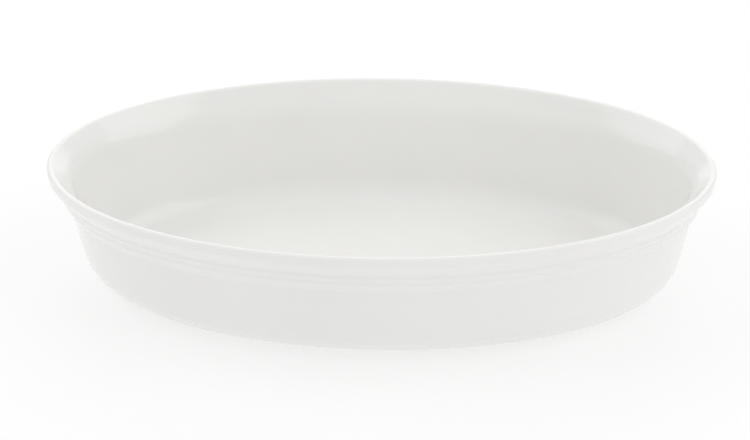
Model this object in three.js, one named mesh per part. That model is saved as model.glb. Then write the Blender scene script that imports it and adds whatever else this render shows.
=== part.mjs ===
// Oval porcelain oven dish, fired and glazed in one piece: a bevelled rim, a collar with two fine
// beads under it, an upright wall, a soft base corner and a low foot ring. Millimetres, +Z up.
// The origin is the middle of the dish on the surface it stands on, and +X runs along its length.
import * as THREE from 'three';

// Driving dimensions.
const LENGTH = 300;
const WIDTH = 180;
const HEIGHT = 62;

const STEPS_AROUND = 72;
const STEPS_PER_CORNER = 4;

// The cross-section. An inset is measured square to the rim's outer edge, towards the middle of
// the dish, a depth is measured down from the top of the rim, and a height up from the table.
const LIP_DEPTH = 4.2;
const LIP_EDGE_RADIUS = 2.2;
const RIM_EDGE_RADIUS = 1.2;
const COLLAR_TOP = { inset: 4.5, depth: 10.8 };
const COLLAR_BOTTOM = { inset: 7.1, depth: 18.3 };
const BEAD_COUNT = 2;
const BEAD_HEIGHT = 0.45;
// Share of the way along one bead, and the share of its height that it stands proud there.
const BEAD_SHAPE = [[0, 0], [0.25, 0.7], [0.5, 1], [0.75, 0.7]];
const WALL_TOP = { inset: 8.9, depth: 21.2 };
const WALL_TOP_RADIUS = 2.5;
const WALL_BOTTOM_INSET = 16.2;
const BASE_CORNER_RADIUS = 22.7;

const FOOT_INNER_INSET = 41;
const FOOT_RECESS = 1.6;
const FOOT_SLOPE = 2;

const CREST_INSET = 2.4;
const CREST_RADIUS = 2.2;
const INNER_BOTTOM_INSET = 21.5;
const INNER_CORNER_RADIUS = 15;
const FLOOR_HEIGHT = 7;

// Inside the crest the rim falls steeply along the sides, and lies flatter and wider at the ends.
const RIM_INNER_AT_SIDES = { inset: 10.8, depth: 13, radius: 36 };
const RIM_INNER_AT_ENDS = { inset: 10, depth: 6.5, radius: 12 };
const END_SHARPNESS = 4;

const HALF_LENGTH = LENGTH / 2;
const HALF_WIDTH = WIDTH / 2;

// A corner of the cross-section: its inset, its height above the table and its rounding radius.
function corner(inset, height, radius) {
  return { point: new THREE.Vector2(inset, height), radius };
}

// Replaces one corner by points on the arc that touches both of its sides.
function roundedCorner(previous, current, next) {
  const { point, radius } = current;
  if (radius === 0) return [point];
  const toPrevious = previous.point.clone().sub(point).normalize();
  const toNext = next.point.clone().sub(point).normalize();
  const halfAngle = Math.acos(toPrevious.dot(toNext)) / 2;
  const tangentLength = radius / Math.tan(halfAngle);
  const start = toPrevious.clone().multiplyScalar(tangentLength).add(point);
  const bisector = toPrevious.clone().add(toNext).normalize();
  const centre = bisector.multiplyScalar(radius / Math.sin(halfAngle)).add(point);
  const turnSide = Math.sign(toNext.cross(toPrevious));
  const sweep = turnSide * (Math.PI - 2 * halfAngle);
  const points = [];
  for (let step = 0; step <= STEPS_PER_CORNER; step += 1) {
    points.push(start.clone().rotateAround(centre, sweep * step / STEPS_PER_CORNER));
  }
  return points;
}

// The fine beads of the collar, from its bottom up: each rises to its crest and falls again.
function collarBeads() {
  const beads = [];
  for (let bead = 0; bead < BEAD_COUNT; bead += 1) {
    for (const [share, proud] of BEAD_SHAPE) {
      const along = (bead + share) / BEAD_COUNT;
      const inset = THREE.MathUtils.lerp(COLLAR_BOTTOM.inset, COLLAR_TOP.inset, along);
      const depth = THREE.MathUtils.lerp(COLLAR_BOTTOM.depth, COLLAR_TOP.depth, along);
      beads.push(corner(inset - BEAD_HEIGHT * proud, HEIGHT - depth, 0));
    }
  }
  return beads;
}

// The corner where the rim's inner slope meets the inner wall, part of the way from side to end.
function rimInnerCorner(endShare) {
  const [inset, depth, radius] = ['inset', 'depth', 'radius'].map((key) => (
    THREE.MathUtils.lerp(RIM_INNER_AT_SIDES[key], RIM_INNER_AT_ENDS[key], endShare)));
  return corner(inset, HEIGHT - depth, radius);
}

// The closed cross-section from the middle of the underside, out and up the outer face,
// over the rim, and down the inner face to the middle of the floor.
function crossSection(endShare) {
  const corners = [
    corner(HALF_WIDTH, FOOT_RECESS, 0),
    corner(FOOT_INNER_INSET + FOOT_SLOPE, FOOT_RECESS, 0),
    corner(FOOT_INNER_INSET, 0, 0),
    corner(WALL_BOTTOM_INSET, 0, BASE_CORNER_RADIUS),
    corner(WALL_TOP.inset, HEIGHT - WALL_TOP.depth, WALL_TOP_RADIUS),
    ...collarBeads(),
    corner(COLLAR_TOP.inset, HEIGHT - COLLAR_TOP.depth, 0),
    corner(0, HEIGHT - LIP_DEPTH, LIP_EDGE_RADIUS),
    corner(0, HEIGHT, RIM_EDGE_RADIUS),
    corner(CREST_INSET, HEIGHT, CREST_RADIUS),
    rimInnerCorner(endShare),
    corner(INNER_BOTTOM_INSET, FLOOR_HEIGHT, INNER_CORNER_RADIUS),
    corner(HALF_WIDTH, FLOOR_HEIGHT, 0),
  ];
  return corners.flatMap((current, index) => {
    const previous = corners[index - 1] ?? current;
    const next = corners[index + 1] ?? current;
    return roundedCorner(previous, current, next);
  });
}

// A point inset from the rim's ellipse, square to it. Beyond the floor's edge the rings keep one
// shape and shrink to the middle, so that they never cross.
function ovalPoint(angle, inset) {
  const deepest = Math.min(inset, FOOT_INNER_INSET + FOOT_SLOPE);
  const shrink = (HALF_WIDTH - inset) / (HALF_WIDTH - deepest);
  const normal = new THREE.Vector2(HALF_WIDTH * Math.cos(angle), HALF_LENGTH * Math.sin(angle));
  const rim = new THREE.Vector2(HALF_LENGTH * Math.cos(angle), HALF_WIDTH * Math.sin(angle));
  return rim.addScaledVector(normal.normalize(), -deepest).multiplyScalar(shrink);
}

// Takes the faces of a turned bowl, and puts each of its vertices on the oval dish.
function dishGeometry() {
  const pointCount = crossSection(0).length;
  const bowlProfile = Array.from({ length: pointCount }, (_, index) => new THREE.Vector2(1, index));
  const geometry = new THREE.LatheGeometry(bowlProfile, STEPS_AROUND);
  const position = geometry.getAttribute('position');
  for (let step = 0; step <= STEPS_AROUND; step += 1) {
    const angle = 2 * Math.PI * (step % STEPS_AROUND) / STEPS_AROUND;
    const endShare = Math.cos(angle) ** END_SHARPNESS;
    crossSection(endShare).forEach((point, index) => {
      const oval = ovalPoint(angle, point.x);
      position.setXYZ(step * pointCount + index, oval.x, oval.y, point.y);
    });
  }
  geometry.computeVertexNormals();
  return geometry;
}

const porcelain = new THREE.MeshStandardMaterial({ color: 0xf3f2ee, roughness: 0.18, metalness: 0 });

const dish = new THREE.Mesh(dishGeometry(), porcelain);
dish.name = 'dish';

const model = new THREE.Group();
model.add(dish);

export default model;
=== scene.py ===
"""The visual model of the oval porcelain dish: one glazed piece that replaces the CAD node "dish".

Sizes are in metres. The dish's length, width and height come from the frame; the rest of its
cross-section is named below. An inset is measured square to the rim's outer edge, towards the
middle of the dish, a depth down from the top of the rim, and a height up from the table. A pair
in the cross-section is an inset and a depth.
"""

import math

import bpy
import numpy as np
from mathutils import Matrix, Vector


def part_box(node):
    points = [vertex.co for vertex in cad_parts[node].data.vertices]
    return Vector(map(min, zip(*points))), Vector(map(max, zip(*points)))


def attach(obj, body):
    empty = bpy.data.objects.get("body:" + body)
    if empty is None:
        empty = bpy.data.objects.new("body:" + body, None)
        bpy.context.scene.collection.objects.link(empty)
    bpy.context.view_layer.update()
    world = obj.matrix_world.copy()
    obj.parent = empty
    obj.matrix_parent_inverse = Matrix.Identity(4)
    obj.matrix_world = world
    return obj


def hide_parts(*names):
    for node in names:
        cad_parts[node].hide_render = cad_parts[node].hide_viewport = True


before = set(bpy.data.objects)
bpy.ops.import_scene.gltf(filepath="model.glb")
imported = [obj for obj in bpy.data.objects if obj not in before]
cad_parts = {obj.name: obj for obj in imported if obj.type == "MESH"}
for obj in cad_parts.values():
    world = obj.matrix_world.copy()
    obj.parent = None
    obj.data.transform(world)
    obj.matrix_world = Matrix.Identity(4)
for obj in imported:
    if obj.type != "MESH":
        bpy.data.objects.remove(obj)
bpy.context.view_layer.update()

MM = 0.001

# Lip, collar and outer wall.
LIP_DEPTH = 4.2 * MM
LIP_EDGE_RADIUS = 2.2 * MM
RIM_EDGE_RADIUS = 1.2 * MM
COLLAR_TOP = (4.5 * MM, 10.8 * MM)
COLLAR_BOTTOM = (7.1 * MM, 18.3 * MM)
GROOVE_RADIUS = 2 * MM
BEAD_COUNT = 2
BEAD_HEIGHT = 0.45 * MM
BEAD_RADIUS = 3 * MM
WALL_TOP = (8.9 * MM, 21.2 * MM)
WALL_TOP_RADIUS = 2.5 * MM
WALL_BOTTOM_INSET = 16.2 * MM
BASE_CORNER_RADIUS = 22.7 * MM

# Foot and underside. The foot is bare porcelain, and the glaze ends in a low rounded edge.
BARE_OUTER_INSET = 34.5 * MM
BARE_INNER_INSET = 41.5 * MM
FOOT_INNER_INSET = 41 * MM
FOOT_RECESS = 1.6 * MM
FOOT_SLOPE = 2 * MM
FOOT_EDGE_RADIUS = 0.6 * MM

# Inner face.
CREST_INSET = 2.4 * MM
CREST_RADIUS = 2.2 * MM
INNER_BOTTOM_INSET = 21.5 * MM
INNER_CORNER_RADIUS = 15 * MM
FLOOR_HEIGHT = 7 * MM

# Inside the crest the rim falls steeply along the sides, and lies flatter and wider at the ends.
# Each is the inset, depth and radius of the corner where it meets the inner wall.
RIM_INNER_AT_SIDES = (10.8 * MM, 13 * MM, 36 * MM)
RIM_INNER_AT_ENDS = (10 * MM, 6.5 * MM, 12 * MM)
END_SHARPNESS = 4

# Mesh density.
STEPS_AROUND = 320
STEPS_PER_CORNER = 8
LONGEST_SEGMENT = 4 * MM

# Stage: a pale floor just under the foot. It glows a little, as a table lit from below does.
FLOOR_HALF_SIDE = 4.0
FLOOR_DROP = 0.2 * MM
FLOOR_TONE = 0.4
FLOOR_TONE_SPREAD = 0.01
FLOOR_GLOW = 0.575

# Light: a pale surround that is brightest overhead, and four softboxes. Each softbox has a name, a
# place, the length of its side and a power in watts.
HORIZON = 0.6
ZENITH = 0.86
SOFTBOXES = [
    ("back_light", (0.0, 2.2, 1.1), 2.4, 11),
    ("front_light", (0.0, -2.2, 1.2), 2.4, 1.5),
    ("right_light", (1.9, -0.4, 1.6), 2.0, 12),
    ("left_light", (-1.9, 0.2, 1.6), 2.0, 10),
]

# Camera: a long lens that looks down at the front of the dish, turned a little to its right end.
CAMERA_AZIMUTH = math.radians(3.9)
CAMERA_ELEVATION = math.radians(28.7)
CAMERA_ROLL = math.radians(-0.7)
CAMERA_DISTANCE_IN_HALF_LENGTHS = 5.34
TARGET_X = -2.2 * MM
TARGET_DEPTH = 31.2 * MM
LENS = 84
SENSOR_WIDTH = 36
NEAREST_VIEW = 0.01
FARTHEST_VIEW = 100

low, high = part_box("dish")
HALF_LENGTH = (high.x - low.x) / 2
HALF_WIDTH = (high.y - low.y) / 2
HEIGHT = high.z - low.z
ANGLES = np.linspace(0, 2 * math.pi, STEPS_AROUND, endpoint=False)


# ---------------------------------------------------------------- cross-section


def rounded_corner(previous, current, following):
    """The points of one corner: itself, or the arc that touches both of its sides."""
    point, radius = np.array(current[:2]), current[2]
    if radius == 0:
        return [point]
    back = np.array(previous[:2]) - point
    ahead = np.array(following[:2]) - point
    back /= np.linalg.norm(back)
    ahead /= np.linalg.norm(ahead)
    half_angle = math.acos(float(np.clip(back @ ahead, -1, 1))) / 2
    middle = (back + ahead) / np.linalg.norm(back + ahead)
    centre = point + middle * radius / math.sin(half_angle)
    start = point + back * radius / math.tan(half_angle) - centre
    side = math.copysign(1, ahead[0] * back[1] - ahead[1] * back[0])
    sweep = side * (math.pi - 2 * half_angle)
    points = []
    for step in range(STEPS_PER_CORNER + 1):
        turn = sweep * step / STEPS_PER_CORNER
        cos, sin = math.cos(turn), math.sin(turn)
        turned = np.array([start[0] * cos - start[1] * sin, start[0] * sin + start[1] * cos])
        points.append(centre + turned)
    return points


def collar_beads():
    """Corners of the collar's beads and the grooves below them, from its bottom up."""
    corners = []
    bottom, top = np.array(COLLAR_BOTTOM), np.array(COLLAR_TOP)
    for bead in range(BEAD_COUNT):
        inset, depth = bottom + (top - bottom) * bead / BEAD_COUNT
        corners.append((inset, HEIGHT - depth, GROOVE_RADIUS))
        inset, depth = bottom + (top - bottom) * (bead + 0.5) / BEAD_COUNT
        corners.append((inset - BEAD_HEIGHT, HEIGHT - depth, BEAD_RADIUS))
    return corners


def cross_section(rim_inner):
    """The outline from the middle of the underside out, up, over the rim and down inside."""
    inner_inset, inner_depth, inner_radius = rim_inner
    corners = [
        (HALF_WIDTH, FOOT_RECESS, 0),
        (FOOT_INNER_INSET + FOOT_SLOPE, FOOT_RECESS, FOOT_EDGE_RADIUS),
        (FOOT_INNER_INSET, 0, FOOT_EDGE_RADIUS),
        (WALL_BOTTOM_INSET, 0, BASE_CORNER_RADIUS),
        (WALL_TOP[0], HEIGHT - WALL_TOP[1], WALL_TOP_RADIUS),
        *collar_beads(),
        (COLLAR_TOP[0], HEIGHT - COLLAR_TOP[1], GROOVE_RADIUS),
        (0, HEIGHT - LIP_DEPTH, LIP_EDGE_RADIUS),
        (0, HEIGHT, RIM_EDGE_RADIUS),
        (CREST_INSET, HEIGHT, CREST_RADIUS),
        (inner_inset, HEIGHT - inner_depth, inner_radius),
        (INNER_BOTTOM_INSET, FLOOR_HEIGHT, INNER_CORNER_RADIUS),
        (HALF_WIDTH, FLOOR_HEIGHT, 0),
    ]
    outline = []
    for index, current in enumerate(corners):
        previous = corners[max(index - 1, 0)]
        following = corners[min(index + 1, len(corners) - 1)]
        outline.extend(rounded_corner(previous, current, following))
    return np.array(outline)


def cut_up(outline, lengths):
    """The same outline with its long straight stretches cut into even steps."""
    points = [outline[:1]]
    for start, end, length in zip(outline, outline[1:], lengths):
        steps = max(1, math.ceil(length / LONGEST_SEGMENT))
        share = np.arange(1, steps + 1)[:, np.newaxis] / steps
        points.append(start + (end - start) * share)
    return np.concatenate(points)


# ---------------------------------------------------------------- dish mesh


def oval_rings(insets, heights):
    """The rings of the dish: the rim's ellipse moved in by its insets, square to itself.

    Both tables have a row for each ring and a column for each step around. Beyond the foot's
    inner edge the rings keep one shape and shrink to the middle.
    """
    deepest = np.minimum(insets, FOOT_INNER_INSET + FOOT_SLOPE)[..., np.newaxis]
    shrink = (HALF_WIDTH - insets[..., np.newaxis]) / (HALF_WIDTH - deepest)
    rim = np.stack([HALF_LENGTH * np.cos(ANGLES), HALF_WIDTH * np.sin(ANGLES)], 1)
    normal = np.stack([HALF_WIDTH * np.cos(ANGLES), HALF_LENGTH * np.sin(ANGLES)], 1)
    normal /= np.linalg.norm(normal, axis=1, keepdims=True)
    return np.concatenate([(rim - normal * deepest) * shrink, heights[..., np.newaxis]], axis=2)


def outlines_around():
    """The outline at each step around: a row for each of its points, a column for each step."""
    at_sides, at_ends = cross_section(RIM_INNER_AT_SIDES), cross_section(RIM_INNER_AT_ENDS)
    lengths = np.linalg.norm(np.diff(at_sides, axis=0), axis=1)
    at_sides, at_ends = cut_up(at_sides, lengths), cut_up(at_ends, lengths)
    difference = (at_ends - at_sides)[:, np.newaxis]
    end_share = np.cos(ANGLES) ** END_SHARPNESS
    return at_sides[:, np.newaxis] + difference * end_share[:, np.newaxis]


def on_bare_foot(start, end):
    """Whether the stretch of outline from start to end is on the foot, which has no glaze."""
    inset, height = (start + end) / 2
    return BARE_OUTER_INSET < inset < BARE_INNER_INSET and height < FOOT_RECESS


def dish_mesh():
    """The whole dish as one closed mesh: rings of quads, with a fan at each end of the outline."""
    outlines = outlines_around()
    rings = oval_rings(outlines[1:-1, :, 0], outlines[1:-1, :, 1])
    count = len(rings)
    bottom_middle = count * STEPS_AROUND
    top_middle = bottom_middle + 1
    profile = outlines[:, 0]
    middles = [(0, 0, profile[0][1]), (0, 0, profile[-1][1])]
    vertices = np.concatenate([rings.reshape(-1, 3), middles])

    faces = []
    for step in range(STEPS_AROUND):
        after = (step + 1) % STEPS_AROUND
        faces.append((bottom_middle, after, step))
        for row in range(count - 1):
            here, above = row * STEPS_AROUND, (row + 1) * STEPS_AROUND
            faces.append((here + step, here + after, above + after, above + step))
        last = (count - 1) * STEPS_AROUND
        faces.append((last + step, last + after, top_middle))
    bare_rows = [on_bare_foot(*pair) for pair in zip(profile[1:-2], profile[2:-1])]
    bare = np.tile([False, *bare_rows, False], STEPS_AROUND)

    mesh = bpy.data.meshes.new("dish_porcelain")
    mesh.from_pydata(vertices.tolist(), [], faces)
    mesh.polygons.foreach_set("material_index", bare.astype(np.int32))
    mesh.polygons.foreach_set("use_smooth", np.ones(len(faces), dtype=bool))
    mesh.update()
    return mesh


# ---------------------------------------------------------------- materials


# The stretch of a noise's values that a colour or a number follows from its one end to the other.
COLOUR_SPAN = (0.35, 0.65)
VALUE_SPAN = (0.3, 0.7)


def new_material(name):
    """A material with its node tree's nodes and links, and its shader."""
    material = bpy.data.materials.new(name)
    material.use_nodes = True
    nodes, links = material.node_tree.nodes, material.node_tree.links
    return material, nodes, links, nodes["Principled BSDF"]


def noise(nodes, links, *, scale, detail):
    """A 3-D noise in the object's own coordinates; scale counts its features to a metre."""
    place = nodes.new("ShaderNodeTexCoord")
    texture = nodes.new("ShaderNodeTexNoise")
    texture.inputs["Scale"].default_value = scale
    texture.inputs["Detail"].default_value = detail
    links.new(place.outputs["Object"], texture.inputs["Vector"])
    return texture.outputs["Fac"]


def mixed_colour(nodes, links, factor, first, second):
    """A colour that wanders from first to second as factor does."""
    ramp = nodes.new("ShaderNodeValToRGB")
    ramp.color_ramp.elements[0].position = COLOUR_SPAN[0]
    ramp.color_ramp.elements[0].color = (*first, 1)
    ramp.color_ramp.elements[1].position = COLOUR_SPAN[1]
    ramp.color_ramp.elements[1].color = (*second, 1)
    links.new(factor, ramp.inputs["Fac"])
    return ramp.outputs["Color"]


def mapped(nodes, links, value, low_value, high_value):
    """A number that wanders from low_value to high_value as value does."""
    span = nodes.new("ShaderNodeMapRange")
    span.inputs["From Min"].default_value = VALUE_SPAN[0]
    span.inputs["From Max"].default_value = VALUE_SPAN[1]
    span.inputs["To Min"].default_value = low_value
    span.inputs["To Max"].default_value = high_value
    links.new(value, span.inputs["Value"])
    return span.outputs["Result"]


def bumped(nodes, links, height, *, strength, distance, below=None):
    """A bump of the given height, on top of the bump below it."""
    bump = nodes.new("ShaderNodeBump")
    bump.inputs["Strength"].default_value = strength
    bump.inputs["Distance"].default_value = distance
    links.new(height, bump.inputs["Height"])
    if below is not None:
        links.new(below, bump.inputs["Normal"])
    return bump.outputs["Normal"]


def glaze():
    """Clear gloss over warm white porcelain, a little uneven in tone, gloss and flow."""
    material, nodes, links, shader = new_material("porcelain_glaze")
    tone = noise(nodes, links, scale=14, detail=3)
    colour = mixed_colour(nodes, links, tone, (0.850, 0.847, 0.829), (0.868, 0.865, 0.847))
    gloss = mapped(nodes, links, noise(nodes, links, scale=45, detail=4), 0.12, 0.18)
    links.new(colour, shader.inputs["Base Color"])
    links.new(gloss, shader.inputs["Roughness"])
    waves = noise(nodes, links, scale=70, detail=2)
    flow = bumped(nodes, links, waves, strength=0.25, distance=0.4 * MM)
    pores = noise(nodes, links, scale=420, detail=2)
    peel = bumped(nodes, links, pores, strength=0.12, distance=0.1 * MM, below=flow)
    links.new(peel, shader.inputs["Normal"])
    shader.inputs["IOR"].default_value = 1.5
    shader.inputs["Coat Weight"].default_value = 0.15
    shader.inputs["Coat Roughness"].default_value = 0.06
    shader.inputs["Subsurface Weight"].default_value = 0.08
    shader.inputs["Subsurface Radius"].default_value = (0.9, 0.8, 0.7)
    shader.inputs["Subsurface Scale"].default_value = 2.5 * MM
    return material


def bare_porcelain():
    """The dry foot: fine grained, matt and slightly creamier than the glaze."""
    material, nodes, links, shader = new_material("porcelain_bare")
    grain = noise(nodes, links, scale=900, detail=5)
    colour = mixed_colour(nodes, links, grain, (0.66, 0.645, 0.60), (0.74, 0.725, 0.69))
    links.new(colour, shader.inputs["Base Color"])
    links.new(mapped(nodes, links, grain, 0.72, 0.9), shader.inputs["Roughness"])
    rough = bumped(nodes, links, grain, strength=0.5, distance=0.15 * MM)
    links.new(rough, shader.inputs["Normal"])
    return material


# ---------------------------------------------------------------- stage, light and camera


def add_floor():
    """A plain pale floor just under the foot."""
    far = FLOOR_HALF_SIDE
    height = low.z - FLOOR_DROP
    corners = [(x, y, height) for x, y in ((-far, -far), (far, -far), (far, far), (-far, far))]
    mesh = bpy.data.meshes.new("floor")
    mesh.from_pydata(corners, [], [(0, 1, 2, 3)])
    floor = bpy.data.objects.new("floor", mesh)
    bpy.context.scene.collection.objects.link(floor)
    material, nodes, links, shader = new_material("floor_white")
    patches = noise(nodes, links, scale=3, detail=2)
    darker, paler = (FLOOR_TONE,) * 3, (FLOOR_TONE + FLOOR_TONE_SPREAD,) * 3
    links.new(mixed_colour(nodes, links, patches, darker, paler), shader.inputs["Base Color"])
    shader.inputs["Emission Color"].default_value = (1, 1, 1, 1)
    shader.inputs["Emission Strength"].default_value = FLOOR_GLOW
    shader.inputs["Roughness"].default_value = 0.8
    shader.inputs["Specular IOR Level"].default_value = 0.1
    mesh.materials.append(material)


def add_softbox(name, place, size, power):
    """A square area light at place, aimed at the middle of the dish."""
    data = bpy.data.lights.new(name, "AREA")
    data.shape = "SQUARE"
    data.size = size
    data.energy = power
    light = bpy.data.objects.new(name, data)
    light.location = place
    aim = Vector((0, 0, HEIGHT / 2)) - Vector(place)
    light.rotation_euler = aim.to_track_quat("-Z", "Y").to_euler()
    bpy.context.scene.collection.objects.link(light)


def add_world():
    """A white surround that brightens from the horizon up to the zenith."""
    world = bpy.data.worlds.new("studio")
    world.use_nodes = True
    nodes, links = world.node_tree.nodes, world.node_tree.links
    direction = nodes.new("ShaderNodeTexCoord")
    parts = nodes.new("ShaderNodeSeparateXYZ")
    rise = nodes.new("ShaderNodeMapRange")
    rise.inputs["To Min"].default_value = HORIZON
    rise.inputs["To Max"].default_value = ZENITH
    links.new(direction.outputs["Generated"], parts.inputs["Vector"])
    links.new(parts.outputs["Z"], rise.inputs["Value"])
    links.new(rise.outputs["Result"], nodes["Background"].inputs["Strength"])
    nodes["Background"].inputs["Color"].default_value = (1, 1, 1, 1)
    bpy.context.scene.world = world


def add_camera():
    """The camera that the named values above describe."""
    data = bpy.data.cameras.new("camera")
    data.sensor_width = SENSOR_WIDTH
    data.lens = LENS
    data.clip_start = NEAREST_VIEW
    data.clip_end = FARTHEST_VIEW
    forward = Vector((
        -math.sin(CAMERA_AZIMUTH) * math.cos(CAMERA_ELEVATION),
        math.cos(CAMERA_AZIMUTH) * math.cos(CAMERA_ELEVATION),
        -math.sin(CAMERA_ELEVATION),
    ))
    level = forward.cross(Vector((0, 0, 1))).normalized()
    upright = level.cross(forward)
    right = level * math.cos(CAMERA_ROLL) + upright * math.sin(CAMERA_ROLL)
    up = upright * math.cos(CAMERA_ROLL) - level * math.sin(CAMERA_ROLL)
    rotation = Matrix((right, up, -forward)).transposed()
    target = Vector((TARGET_X, 0, HEIGHT - TARGET_DEPTH))
    place = target - forward * CAMERA_DISTANCE_IN_HALF_LENGTHS * HALF_LENGTH
    camera = bpy.data.objects.new("camera", data)
    camera.matrix_world = Matrix.Translation(place) @ rotation.to_4x4()
    bpy.context.scene.collection.objects.link(camera)
    bpy.context.scene.camera = camera


# ---------------------------------------------------------------- assembly

add_camera()
add_floor()
add_world()
for name, place, size, power in SOFTBOXES:
    add_softbox(name, place, size, power)
bpy.context.scene.view_settings.view_transform = "Standard"

dish = bpy.data.objects.new("dish_porcelain", dish_mesh())
bpy.context.scene.collection.objects.link(dish)
dish.data.materials.append(glaze())
dish.data.materials.append(bare_porcelain())
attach(dish, "root")
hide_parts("dish")
